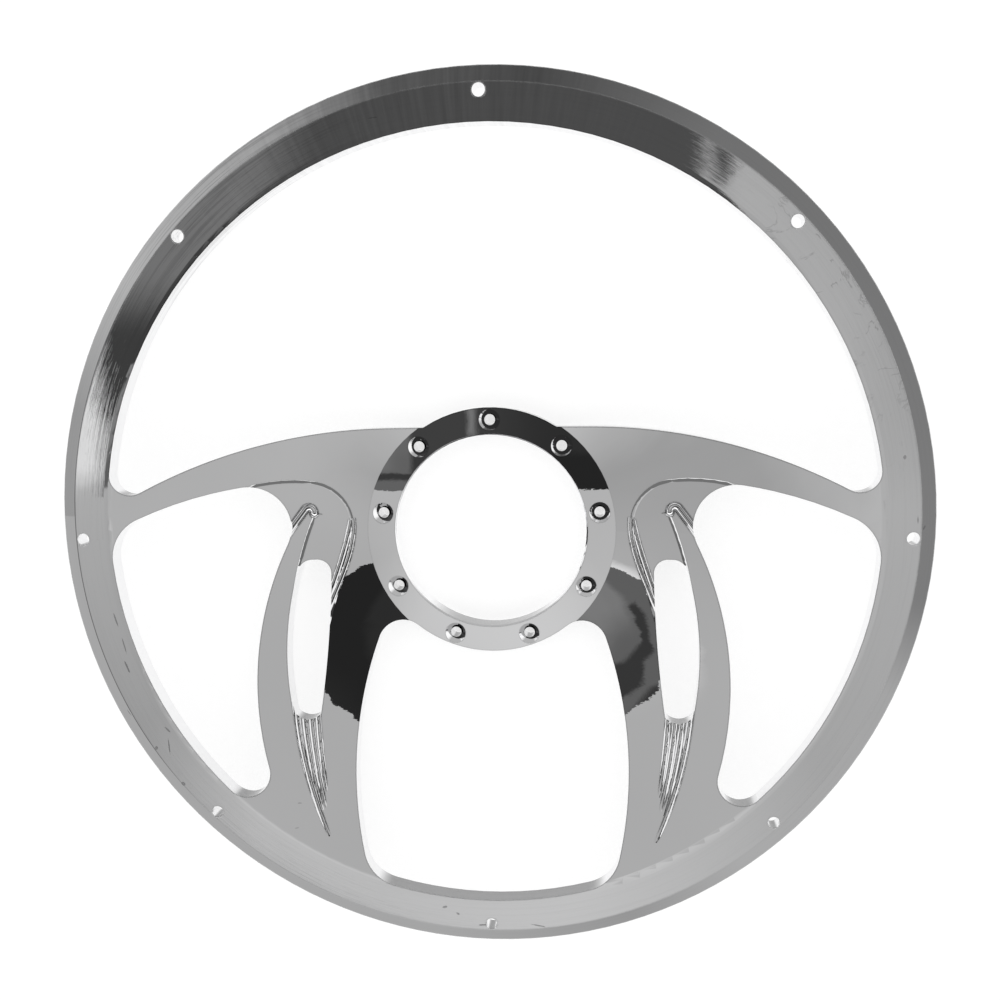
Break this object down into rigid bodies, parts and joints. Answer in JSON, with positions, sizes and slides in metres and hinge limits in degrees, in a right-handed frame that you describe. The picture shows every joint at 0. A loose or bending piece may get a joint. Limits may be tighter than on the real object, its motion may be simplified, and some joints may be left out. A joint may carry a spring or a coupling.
{
  "type": "steering wheel",
  "caption": "Dished steering wheel frame: swept side spokes, slotted lower legs with fluted pockets, a flat hub ring with countersunk holes and a bevelled rim drilled for a grip.",
  "frame": {"origin": "centre of the bore, in the plane of the hub's back face", "axes": "+Z along the wheel's axis towards the driver, +Y to the wheel's top, +X to the driver's right"},
  "size_m": [0.3556, 0.3556, 0.0341],
  "materials": {
    "polished_metal": "mirror polished on hub, spokes and legs, worn satin on the rim"
  },
  "bodies": {
    "root": {"wheel_frame": "polished_metal"}
  },
  "joints": []
}
